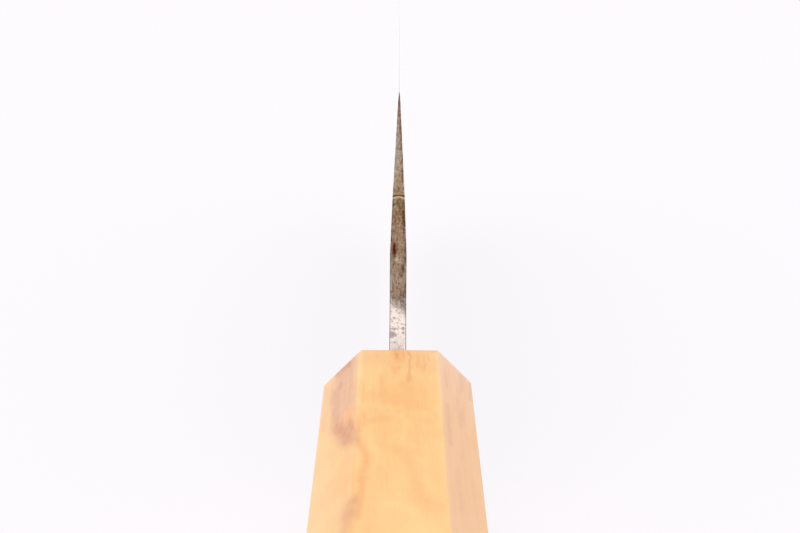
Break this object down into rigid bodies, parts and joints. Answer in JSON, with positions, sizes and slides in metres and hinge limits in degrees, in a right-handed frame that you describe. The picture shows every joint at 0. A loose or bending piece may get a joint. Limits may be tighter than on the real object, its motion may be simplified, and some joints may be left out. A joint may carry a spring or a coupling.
{
  "type": "santoku kitchen knife",
  "caption": "Santoku kitchen knife with a wide-bevel forged steel blade, a hidden tang and an octagonal one-piece wooden handle, standing edge up.",
  "frame": {"origin": "centre of the handle's flat spine-side facet, halfway along the handle", "axes": "+X along the knife to the tip, +Z from the spine to the cutting edge, +Y to the left seen from the butt"},
  "size_m": [0.314, 0.02, 0.0507],
  "materials": {
    "blade_steel": "forged and ground carbon steel with a brown patina",
    "handle_wood": "oiled honey-coloured figured wood",
    "bedding_resin": "cured epoxy resin"
  },
  "bodies": {
    "root": {"blade": "blade_steel", "handle": "handle_wood", "tang_bedding": "bedding_resin"}
  },
  "joints": []
}
